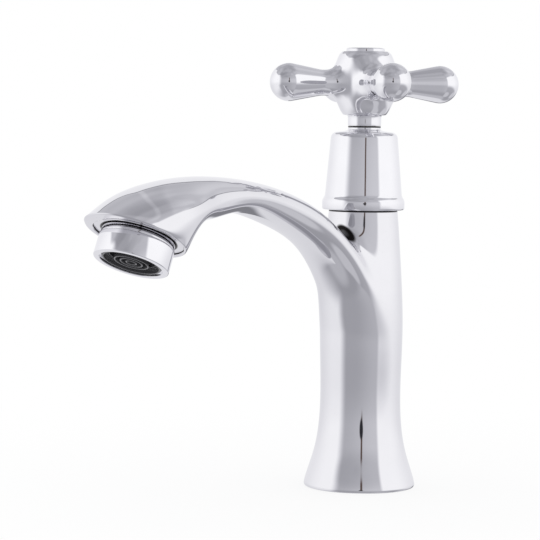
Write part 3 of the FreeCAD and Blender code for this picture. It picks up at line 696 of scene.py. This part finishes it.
# cup of the aerator, with the thin nose seen inside the sleeve's mouth, its plastic darkened as painted shade
# for the recess
cup = {
    "steps": 96,
    "profile": [
        (7.75, -6.7, 0), (8.75, -6.7, 0), (8.75, -8.1, 0.12), (9.35, -8.1, 0.12), (9.35, -6.7, 0),
        (10.9, -6.7, 0), (10.9, -5.5, 0), (8.65, -5.5, 0), (8.65, 0.5, 0), (7.75, 0.5, 0),
    ],
}
bm = bmesh.new()
turnProfile(bm, cup["profile"], cup["steps"])
bmesh.ops.transform(bm, matrix=outletPlace, verts=bm.verts)
finishPiece(bm, "aeratorCup", nosePlasticAndShade, "tap", ["aerator_cage"], sharpAbove=40)


# rings that straighten the flow, held by four spokes, in the same darkened plastic as painted shade
rings = {
    "steps": 72, "radii": [1.85, 3.7, 5.55], "wall": 0.5, "corner": 0.16, "rim": 7.7, "spokes": 4,
    "low": -8.1, "step": -6.7, "high": -5.1,
}


def makeFlowRings():
    bm = bmesh.new()
    wall, corner, high, step = (rings[key] for key in ("wall", "corner", "high", "step"))
    for radius, low in [(radius, rings["low"]) for radius in rings["radii"]] + [(rings["rim"], step)]:
        inner = radius - wall
        section = [(inner, high, 0), (inner, low, corner), (radius, low, corner), (radius, high, 0)]
        turnProfile(bm, section, rings["steps"])
    start, end = rings["radii"][0] - wall / 2, rings["rim"] - wall / 2
    middle = Matrix.Translation(((start + end) / 2, 0, (step + high) / 2))
    size = Matrix.Diagonal((end - start, wall, high - step, 1))
    for number in range(rings["spokes"]):
        turn = Matrix.Rotation(number * 2 * math.pi / rings["spokes"], 4, "Z")
        bmesh.ops.create_cube(bm, size=1.0, matrix=turn @ middle @ size)
    bmesh.ops.transform(bm, matrix=outletPlace, verts=bm.verts)
    finishPiece(
        bm, "flowRings", nosePlasticAndShade, "tap", ["flow_straightener"], sharpAbove=40)


makeFlowRings()


# pale floor, seen as white, which keeps the object's shadow
floor = {
    "radius": 0.7, "steps": 96, "drop": 0.00005,
    "colour": (0.93, 0.93, 0.94, 1), "pale": (0.95, 0.95, 0.955, 1), "grainScale": 12,
    "shadow": 0.82, "shadowFrom": (0.03, 0.25),
}


def addFloor():
    bm = bmesh.new()
    bmesh.ops.create_circle(bm, cap_ends=True, segments=floor["steps"], radius=floor["radius"])
    mesh = bpy.data.meshes.new("floor")
    bm.to_mesh(mesh)
    bm.free()
    obj = bpy.data.objects.new("floor", mesh)
    obj.location.z = -floor["drop"]
    obj.visible_glossy = False  # the metal shows the tent's own lower part
    scene.collection.objects.link(obj)
    material = bpy.data.materials.new("paleFloor")
    material.use_nodes = True
    tree = material.node_tree
    tree.nodes.clear()
    light = addNode(tree, "ShaderNodeLightPath")
    place = addNode(tree, "ShaderNodeTexCoord").outputs["Object"]
    grain = noiseNode(tree, place, floor["grainScale"])
    colour = mixColour(tree, grain, floor["colour"], floor["pale"])
    paint = addNode(tree, "ShaderNodeBsdfDiffuse", {"Color": colour}).outputs[0]
    white = addNode(tree, "ShaderNodeEmission", {"Color": (1, 1, 1, 1), "Strength": 1.0}).outputs[0]
    far = addNode(tree, "ShaderNodeVectorMath", {0: place}, operation="LENGTH").outputs["Value"]
    share = easeNode(tree, far, *floor["shadowFrom"], floor["shadow"], 1.0)
    seen = mathNode(tree, "MULTIPLY", light.outputs["Is Camera Ray"], share)
    mixed = addNode(tree, "ShaderNodeMixShader", {0: seen, 1: paint, 2: white}).outputs[0]
    addNode(tree, "ShaderNodeOutputMaterial", {"Surface": mixed})
    mesh.materials.append(material)


addFloor()


# light tent: white walls, a grey curtain on the camera's side, a grey ceiling and a darker floor
tent = {
    "white": 1.08, "backWhite": 0.92, "backFrom": (85, 150), "lowFrom": (3, -12), "lowShare": 0.88,
    "floor": (0.46, 0.38), "floorFrom": (-15, -60), "nadir": 0.53, "nadirFrom": (-67, -80),
    "backFloor": 0.80, "backFloorFrom": (140, 170), "leftFloor": 0.66, "leftFloorFrom": (-132, -148),
    "floorEdge": -32, "floorLean": 19, "floorAhead": 12, "floorSoft": 16, "floorSoftLean": -8,
    "paleCards": [(0.60, (64, -56), (12, 20)), (0.64, (121, -36), (9, 17))],
    "darkCard": 0.24, "darkCardFrom": (142, 152), "darkCardTop": (-8, -14), "darkCardFoot": (-26, -36),
    "curtain": (0.50, 0.66), "curtainFrom": (-45, 45), "lowCurtain": (0.41, 0.52), "lowCurtainFrom": (-20, 45),
    "curtainHead": (12, 26), "curtainHeadShare": 0.84, "curtainFoot": (-35, -60),
    "curtainLeft": (-66, -42), "curtainRight": (42, 51), "curtainWaist": 5, "flareFrom": (12, 28), "flare": 8,
    "roof": 0.56, "roofRight": 0.07, "roofRightFrom": (0.0, 0.6),
    "roofFront": -0.04, "roofFrontFrom": (0.3, 0.9), "roofTop": 0.46, "roofTopFrom": (46, 72),
    "roofDark": -0.14, "roofDarkAt": 40, "roofDarkHalf": (16, 42), "roofDarkRise": -4,
    "roofEdge": 33, "roofWave": 8, "roofTurn": 66, "roofSoft": 3.0,
    "foldScale": 2.6, "foldFrom": (0.35, 0.65), "fold": (0.90, 1.10),
    "drops": [(8, (-170.5, -167), (-150, -130)), (4.5, (-128, -108), (-86, -64))],
    "lobeAt": (-49, -16), "lobeFrom": (128.5, 132.0), "lobe": (0.93, 1.07),
    "hem": (1.2, 1.0), "hemAt": 125.2, "hemHalf": (0.15, 0.8),
    "seam": 0.28, "seamHalf": (0.3, 1.3), "seamFrom": (0.0, -0.3), "blue": (-0.10, 1.12),
    "slit": (0.12, 0.085, 0.075, 1), "slitAt": 3.0, "slitHalf": (1.4, 3.0), "slitHeight": (-5, 1, 22, 29),
    "lens": (0.03, 0.03, 0.035, 1), "lensAt": (2.0, 4.0), "lensSize": (3.5, 6.0), "fill": 1.0,
}


def addTent():
    world = bpy.data.worlds.new("lightTent")
    scene.world = world
    world.use_nodes = True
    tree = world.node_tree
    tree.nodes.clear()
    ray = addNode(tree, "ShaderNodeTexCoord").outputs["Generated"]
    # turned so that the camera stands on +X and azimuth grows to the right of the picture
    turned = addNode(tree, "ShaderNodeVectorRotate", {
        "Vector": ray, "Axis": (0, 0, 1), "Angle": math.radians(90 - camera["azimuth"])}).outputs[0]
    split = addNode(tree, "ShaderNodeSeparateXYZ", {0: turned}).outputs
    around = mathNode(tree, "ARCTAN2", split["Y"], split["X"])
    azimuth = mathNode(tree, "DEGREES", around)
    height = mathNode(tree, "DEGREES", mathNode(tree, "ARCSINE", split["Z"]))
    side, ahead = mathNode(tree, "SINE", around), mathNode(tree, "COSINE", around)
    away = mathNode(tree, "ABSOLUTE", azimuth)
    # walls, a little darker towards the floor
    low = easeNode(tree, height, *tent["lowFrom"])
    tone = easeNode(tree, away, *tent["backFrom"], tent["white"], tent["backWhite"])
    tone = mathNode(tree, "MULTIPLY", tone, easeNode(tree, height, *tent["lowFrom"], 1.0, tent["lowShare"]))
    # floor, which comes nearer on the right
    ground = easeNode(tree, height, *tent["floorFrom"], *tent["floor"])
    ground = mixTone(tree, easeNode(tree, height, *tent["nadirFrom"]), ground, tent["nadir"])
    ground = mixTone(tree, easeNode(tree, azimuth, *tent["leftFloorFrom"]), ground, tent["leftFloor"])
    ground = mixTone(tree, easeNode(tree, away, *tent["backFloorFrom"]), ground, tent["backFloor"])
    edge = mathNode(tree, "MULTIPLY_ADD", side, tent["floorLean"], tent["floorEdge"])
    edge = mathNode(tree, "MULTIPLY_ADD", ahead, tent["floorAhead"], edge)
    soft = mathNode(tree, "MULTIPLY_ADD", side, tent["floorSoftLean"], tent["floorSoft"])
    below = mathNode(tree, "DIVIDE", mathNode(tree, "SUBTRACT", edge, height), soft)
    tone = mixTone(tree, easeNode(tree, below, -1.0, 1.0), tone, ground)

    def angleFrom(turn, rise):
        turn, rise = math.radians(turn), math.radians(rise)
        aim = (math.cos(rise) * math.cos(turn), math.cos(rise) * math.sin(turn), math.sin(rise))
        near = addNode(tree, "ShaderNodeVectorMath", {0: turned, 1: aim}, operation="DOT_PRODUCT")
        return mathNode(tree, "DEGREES", mathNode(tree, "ARCCOSINE", near.outputs["Value"]))

    # pale cards on the floor, and a dark one low at the back
    for cardTone, aim, size in tent["paleCards"]:
        tone = mixTone(tree, easeNode(tree, angleFrom(*aim), *size, 1.0, 0.0), tone, cardTone)
    dark = mathNode(
        tree, "MULTIPLY", easeNode(tree, height, *tent["darkCardTop"]),
        easeNode(tree, height, *tent["darkCardFoot"], 1.0, 0.0))
    dark = mathNode(tree, "MULTIPLY", dark, easeNode(tree, azimuth, *tent["darkCardFrom"]))
    tone = mixTone(tree, dark, tone, tent["darkCard"])
    # curtain, paler to the right
    front = mixTone(
        tree, low, easeNode(tree, azimuth, *tent["curtainFrom"], *tent["curtain"]),
        easeNode(tree, azimuth, *tent["lowCurtainFrom"], *tent["lowCurtain"]))
    front = mathNode(
        tree, "MULTIPLY", front, easeNode(tree, height, *tent["curtainHead"], 1.0, tent["curtainHeadShare"]))
    front = mixTone(tree, easeNode(tree, height, *tent["curtainFoot"]), front, ground)
    off = mathNode(tree, "ABSOLUTE", mathNode(tree, "SUBTRACT", height, tent["curtainWaist"]))
    flare = easeNode(tree, off, *tent["flareFrom"], 0.0, tent["flare"])
    left = easeNode(tree, mathNode(tree, "ADD", azimuth, flare), *tent["curtainLeft"])
    right = easeNode(tree, azimuth, *tent["curtainRight"], 1.0, 0.0)
    tone = mixTone(tree, mathNode(tree, "MULTIPLY", left, right), tone, front)
    # ceiling cloth in soft folds, with a seam along the edge at the back
    wave = mathNode(tree, "COSINE", mathNode(
        tree, "MULTIPLY_ADD", around, 2.0, -2 * math.radians(tent["roofTurn"])))
    level = mathNode(tree, "SUBTRACT", height, mathNode(
        tree, "MULTIPLY_ADD", wave, tent["roofWave"], tent["roofEdge"]))
    leftward = mathNode(tree, "ABSOLUTE", mathNode(tree, "ADD", azimuth, tent["roofDarkAt"]))
    leftward = easeNode(tree, leftward, *tent["roofDarkHalf"], 1.0, 0.0)
    level = mathNode(tree, "MULTIPLY_ADD", leftward, tent["roofDarkRise"], level)
    for drop, start, end in tent["drops"]:  # where the cloth hangs lower
        hang = mathNode(
            tree, "MULTIPLY", easeNode(tree, azimuth, *start), easeNode(tree, azimuth, *end, 1.0, 0.0))
        level = mathNode(tree, "MULTIPLY_ADD", hang, drop, level)
    rightward = easeNode(tree, side, *tent["roofRightFrom"], 0.0, tent["roofRight"])
    forward = easeNode(tree, ahead, *tent["roofFrontFrom"], 0.0, tent["roofFront"])
    roof = mathNode(tree, "ADD", mathNode(tree, "ADD", rightward, tent["roof"]), forward)
    roof = mathNode(tree, "MULTIPLY_ADD", leftward, tent["roofDark"], roof)
    roof = mixTone(tree, easeNode(tree, height, *tent["roofTopFrom"]), roof, tent["roofTop"])
    folds = noiseNode(tree, turned, tent["foldScale"], detail=1.0, roughness=0.4)
    roof = mathNode(tree, "MULTIPLY", roof, easeNode(tree, folds, *tent["foldFrom"], *tent["fold"]))
    # one great fold with a pale hem
    fromLobe = angleFrom(*tent["lobeAt"])
    roof = mathNode(tree, "MULTIPLY", roof, easeNode(tree, fromLobe, *tent["lobeFrom"], *tent["lobe"]))
    hem = mathNode(tree, "ABSOLUTE", mathNode(tree, "SUBTRACT", fromLobe, tent["hemAt"]))
    roof = mathNode(tree, "MULTIPLY", roof, easeNode(tree, hem, *tent["hemHalf"], *tent["hem"]))
    tone = mixTone(tree, easeNode(tree, level, -tent["roofSoft"], tent["roofSoft"]), tone, roof)
    seam = easeNode(tree, mathNode(tree, "ABSOLUTE", level), *tent["seamHalf"], 1.0, 0.0)
    seam = mathNode(tree, "MULTIPLY", seam, easeNode(tree, ahead, *tent["seamFrom"]))
    tone = mixTone(tree, seam, tone, tent["seam"])
    # greys are a little blue
    blue = mathNode(tree, "MULTIPLY", tone, mathNode(tree, "MULTIPLY_ADD", tone, *tent["blue"]))
    colour = addNode(tree, "ShaderNodeCombineColor", {"Red": tone, "Green": tone, "Blue": blue}).outputs[0]
    # slit and lens
    aside = mathNode(tree, "ABSOLUTE", mathNode(tree, "SUBTRACT", azimuth, tent["slitAt"]))
    slit = easeNode(tree, aside, *tent["slitHalf"], 1.0, 0.0)
    bottom, rise, fade, top = tent["slitHeight"]
    slit = mathNode(tree, "MULTIPLY", slit, easeNode(tree, height, bottom, rise))
    slit = mathNode(tree, "MULTIPLY", slit, easeNode(tree, height, fade, top, 1.0, 0.0))
    colour = mixColour(tree, slit, colour, tent["slit"])
    across = mathNode(tree, "SUBTRACT", azimuth, tent["lensAt"][0])
    above = mathNode(tree, "SUBTRACT", height, tent["lensAt"][1])
    apart = mathNode(tree, "SQRT", mathNode(
        tree, "ADD", mathNode(tree, "MULTIPLY", across, across), mathNode(tree, "MULTIPLY", above, above)))
    colour = mixColour(tree, easeNode(tree, apart, *tent["lensSize"], 1.0, 0.0), colour, tent["lens"])
    walls = addNode(tree, "ShaderNodeBackground", {"Color": colour, "Strength": 1.0}).outputs[0]
    fill = addNode(tree, "ShaderNodeBackground", {"Color": (1, 1, 1, 1), "Strength": tent["fill"]}).outputs[0]
    white = addNode(tree, "ShaderNodeBackground", {"Color": (1, 1, 1, 1), "Strength": 1.0}).outputs[0]
    light = addNode(tree, "ShaderNodeLightPath").outputs
    mirrored = mathNode(tree, "MAXIMUM", light["Is Glossy Ray"], light["Is Transmission Ray"])
    mixed = addNode(tree, "ShaderNodeMixShader", {0: mirrored, 1: fill, 2: walls}).outputs[0]
    mixed = addNode(tree, "ShaderNodeMixShader", {0: light["Is Camera Ray"], 1: mixed, 2: white}).outputs[0]
    addNode(tree, "ShaderNodeOutputWorld", {"Surface": mixed})


addTent()
print("stage set")
